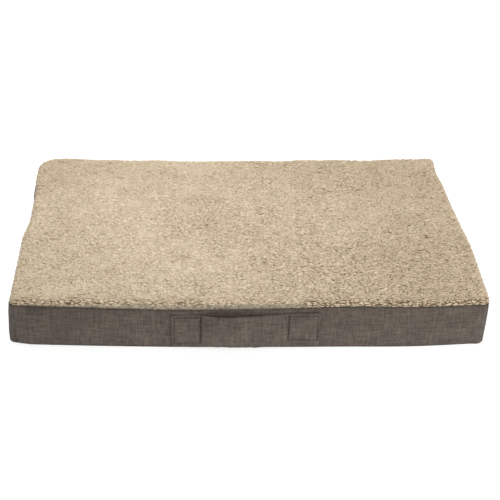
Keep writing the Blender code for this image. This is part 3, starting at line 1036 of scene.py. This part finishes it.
def add_stitches(material):
    """Each box stitch as a row of short raised stitches round the patch."""
    for side in ("left", "right"):
        node = f"handle_stitch_{side}"
        low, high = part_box(node)
        corners = [(low.x, low.z), (high.x, low.z), (high.x, high.z), (low.x, high.z)]
        marks = []
        for (x0, z0), (x1, z1) in zip(corners, corners[1:] + corners[:1]):
            length = math.dist((x0, z0), (x1, z1))
            count = round(length / 0.0036)
            for i in range(count):
                t0, t1 = (i + 0.12) / count, (i + 0.88) / count
                start = (x0 + (x1 - x0) * t0, z0 + (z1 - z0) * t0)
                end = (x0 + (x1 - x0) * t1, z0 + (z1 - z0) * t1)
                marks.append((start, end))
        curve = bpy.data.curves.new(f"box_stitch_{side}", "CURVE")
        curve.dimensions = "3D"
        curve.bevel_depth = 0.00042
        curve.bevel_resolution = 2
        curve.use_fill_caps = True
        for start, end in marks:
            spline = curve.splines.new("POLY")
            spline.points.add(4)
            for i, point in enumerate(spline.points):
                t = i / 4
                x = start[0] + (end[0] - start[0]) * t
                z = start[1] + (end[1] - start[1]) * t
                sunk = 0.0006 * (2 * t - 1) ** 2
                y = face_y(np.array([x]), np.array([z]))[0] - 0.0006 - STRAP_THICK + 0.0012 + sunk
                point.co = (x, y, strap_z(x, z - (strap_low.z + strap_high.z) / 2), 1)
                point.radius = 1 - 0.5 * (2 * t - 1) ** 4
        piece = add_object(f"box_stitch_{side}", curve)
        settle(piece, COVER, material, "thread", node)


# ---- zip ----------------------------------------------------------------------------------
COIL_PITCH = 0.0013
WIRE = 0.00030


def add_coils(material):
    """A nylon helix on each tape, flattened, with its turns half a pitch apart across the zip."""
    for side, way in (("upper", 1), ("lower", -1)):
        node = f"zipper_coil_{side}"
        low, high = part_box(node)
        turns = int((high.x - low.x) / COIL_PITCH)
        steps = 10
        count = turns * steps + 1
        angle = np.linspace(0, 2 * math.pi * turns, count)
        x = low.x + (high.x - low.x) * np.linspace(0, 1, count)
        x = x + (COIL_PITCH / 4) * way
        middle = (Vector(low) + Vector(high)) / 2
        deep = (high.y - low.y) / 2 - WIRE
        wide = (high.z - low.z) / 2 - WIRE + 0.00012
        curve = bpy.data.curves.new(f"zip_coil_{side}", "CURVE")
        curve.dimensions = "3D"
        curve.bevel_depth = WIRE
        curve.bevel_resolution = 1
        curve.use_fill_caps = True
        spline = curve.splines.new("POLY")
        spline.points.add(count - 1)
        y = middle.y + deep * np.cos(angle)
        z = middle.z + wide * np.sin(angle)
        spline.points.foreach_set("co", np.stack([x, y, z, np.ones(count)], axis=1).ravel())
        piece = add_object(f"zip_coil_{side}", curve)
        settle(piece, COVER, material, "nylon_coil", node)


def add_tapes(material):
    """The tapes are thin woven strips with a slight ripple, sewn behind the back strips."""
    for side in ("upper", "lower"):
        node = f"zipper_tape_{side}"
        low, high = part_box(node)
        columns, rows = 260, 8
        x, z = np.meshgrid(np.linspace(low.x, high.x, columns), np.linspace(low.z, high.z, rows))
        x, z = x.ravel(), z.ravel()
        flat = np.stack([x, np.zeros_like(x), z], axis=1)
        y = low.y + 0.00008 * noise(flat, 71, 0.03, 30)
        points = np.stack([x, y, z], axis=1)
        mesh = make_mesh(f"zip_tape_{side}", points, grid_faces(rows, columns))
        piece = add_object(f"zip_tape_{side}", mesh)
        add_modifier(piece, "SOLIDIFY", thickness=high.y - low.y - 0.0001, offset=-1)
        settle(piece, COVER, material, "zip_tape", node)


def finish_metal(material):
    """The slider, tab and stops keep their CAD shape, with worn edges."""
    widths = {
        "zipper_slider": 0.0005,
        "zipper_pull_tab": 0.00035,
        "zipper_top_stop": 0.0005,
        "zipper_bottom_stop": 0.0005,
    }
    for node, width in widths.items():
        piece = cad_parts[node]
        piece.data.materials.clear()
        piece.data.materials.append(material)
        add_modifier(piece, "BEVEL", width=width, segments=3, limit_method="ANGLE", angle_limit=0.6)


def add_label(material):
    """A blank satin label, sewn in at its top and curling a little away from the back."""
    low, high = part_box("care_label")
    columns, rows = 24, 22
    x, t = np.meshgrid(np.linspace(high.x, low.x, columns), np.linspace(0, 1, rows))
    x, t = x.ravel(), t.ravel()
    z = low.z + (high.z - low.z) * t
    curl = 0.0022 * (1 - t) ** 2 + 0.0006 * np.sin((x - low.x) * 90) * (1 - t)
    y = low.y + 0.0002 + curl
    mesh = make_mesh("blank_label", np.stack([x, y, z], axis=1), grid_faces(rows, columns))
    piece = add_object("blank_label", mesh)
    add_modifier(piece, "SOLIDIFY", thickness=0.0004, offset=1)
    settle(piece, COVER, material, "label_cloth", "care_label")


# ---- foam ---------------------------------------------------------------------------------
FOAM_INSET = 0.006
FOAM_STEP = 0.005


def add_foam(name, node, slot, material, waffle):
    """A foam slab with softened edges. The topper's upper face has rounded egg-crate pegs."""
    low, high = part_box(node)
    half_x = END_X - FOAM_INSET
    half_y = BACK_Y - FOAM_INSET
    columns = int(2 * half_x / FOAM_STEP)
    rows = int(2 * half_y / FOAM_STEP)
    x, y = np.meshgrid(np.linspace(-half_x, half_x, columns), np.linspace(-half_y, half_y, rows))
    x, y = x.ravel(), y.ravel()
    edge = np.minimum(half_x - np.abs(x), half_y - np.abs(y))
    soft = 0.004 * np.clip(1 - edge / 0.010, 0, 1) ** 2
    pegs = 0.25 * (1 + np.sin(x * 2 * math.pi / 0.05)) * (1 + np.sin(y * 2 * math.pi / 0.05))
    dip = waffle * (1 - pegs) * ease(edge, 0.004, 0.02)
    top = np.stack([x, y, high.z - soft - dip], axis=1)
    bottom = np.stack([x, y, low.z + soft], axis=1)
    sagged = shape_cover(top)
    sagged[:, 2] = np.minimum(sagged[:, 2], seam_height(x, y) - 0.001)
    faces = grid_faces(rows, columns)
    mesh = sandwich(name, sagged, shape_cover(bottom), faces, rows, columns)
    piece = add_object(name, mesh)
    settle(piece, COVER, material, slot, node)
    return piece


def sandwich(name, top, bottom, faces, rows, columns):
    """Close two matching grids into one body round their rim."""
    count = rows * columns
    index = np.arange(count).reshape(rows, columns)
    loop = np.concatenate([index[0, :-1], index[:-1, -1], index[-1, :0:-1], index[:0:-1, 0]])
    ahead = np.roll(loop, -1)
    wall = np.stack([loop + count, ahead + count, ahead, loop], axis=1)
    under = faces[:, ::-1] + count
    return make_mesh(name, np.concatenate([top, bottom]), np.concatenate([faces, under, wall]))


# ---- stage --------------------------------------------------------------------------------
def add_floor():
    bm = bmesh.new()
    bmesh.ops.create_grid(bm, x_segments=2, y_segments=2, size=12.0)
    mesh = bpy.data.meshes.new("floor")
    bm.to_mesh(mesh)
    bm.free()
    floor = add_object("floor", mesh)
    look = Look("pale_floor", Roughness=0.9)
    look.shader.inputs["Base Color"].default_value = (0.42, 0.42, 0.42, 1.0)
    look.shader.inputs["Emission Color"].default_value = (1.0, 1.0, 1.0, 1.0)
    look.shader.inputs["Emission Strength"].default_value = 0.79
    look.shader.inputs["Specular IOR Level"].default_value = 0.1
    floor.data.materials.append(look.material)


def add_light(name, place, target, size, power):
    light = bpy.data.lights.new(name, "AREA")
    light.shape = "RECTANGLE"
    light.size, light.size_y = size
    light.energy = power
    lamp = bpy.data.objects.new(name, light)
    bpy.context.scene.collection.objects.link(lamp)
    lamp.location = place
    lamp.rotation_euler = (Vector(target) - Vector(place)).to_track_quat("-Z", "Y").to_euler()


def add_lights():
    world = bpy.data.worlds.new("studio")
    bpy.context.scene.world = world
    world.use_nodes = True
    tree = world.node_tree
    glow = tree.nodes["Background"]
    glow.inputs["Color"].default_value = (1.0, 1.0, 1.0, 1.0)
    glow.inputs["Strength"].default_value = 0.58
    seen = tree.nodes.new("ShaderNodeBackground")
    seen.inputs["Color"].default_value = (1.0, 1.0, 1.0, 1.0)
    seen.inputs["Strength"].default_value = 1.0
    path = tree.nodes.new("ShaderNodeLightPath")
    either = tree.nodes.new("ShaderNodeMixShader")
    tree.links.new(path.outputs["Is Camera Ray"], either.inputs[0])
    tree.links.new(glow.outputs["Background"], either.inputs[1])
    tree.links.new(seen.outputs["Background"], either.inputs[2])
    tree.links.new(either.outputs["Shader"], tree.nodes["World Output"].inputs["Surface"])
    add_light("front", (1.6, -1.25, 0.8), (0.15, 0, 0.05), (1.0, 0.8), 14.0)
    add_light("overhead", (-0.30, 0.60, 2.10), (-0.15, 0.05, 0.05), (1.1, 0.8), 28.6)
    bpy.context.scene.view_settings.view_transform = "Standard"


def add_camera():
    """The photograph's view: 31 degrees down, a little to the left of the middle."""
    pitch, yaw, roll = (math.radians(a) for a in (31.29, 4.23, 2.35))
    forward = Vector((math.sin(yaw) * math.cos(pitch), math.cos(yaw) * math.cos(pitch), -math.sin(pitch)))
    level = Vector((math.cos(yaw), -math.sin(yaw), 0))
    above = level.cross(forward)
    right = level * math.cos(roll) + above * math.sin(roll)
    up = -level * math.sin(roll) + above * math.cos(roll)
    data = bpy.data.cameras.new("camera")
    data.sensor_width = 36.0
    data.lens = 86.9
    data.clip_end = 60.0
    camera = bpy.data.objects.new("camera", data)
    bpy.context.scene.collection.objects.link(camera)
    turn = Matrix((right, up, -forward)).transposed()
    camera.matrix_world = Matrix.Translation((-0.153, -2.264, 1.415)) @ turn.to_4x4()
    bpy.context.scene.camera = camera


def main():
    global swell
    add_camera()
    add_lights()
    add_floor()
    swell = Swell(*simulate_cover())
    linen = linen_look()
    metal = metal_look()
    add_sherpa(sherpa_look())
    support = foam_look("support_foam", (0.55, 0.52, 0.42), (0.80, 0.77, 0.68))
    topper = foam_look("topper_foam", (0.26, 0.40, 0.50), (0.50, 0.66, 0.75))
    add_foam("foam_slab", "foam_support_slab", "support_foam", support, 0.0)
    add_foam("foam_top", "foam_topper", "top_foam", topper, 0.012)
    add_sides(linen)
    add_base(base_look())
    add_handle(linen)
    add_stitches(thread_look())
    add_tapes(tape_look())
    add_coils(nylon_look())
    add_label(label_look())
    finish_metal(metal)


main()
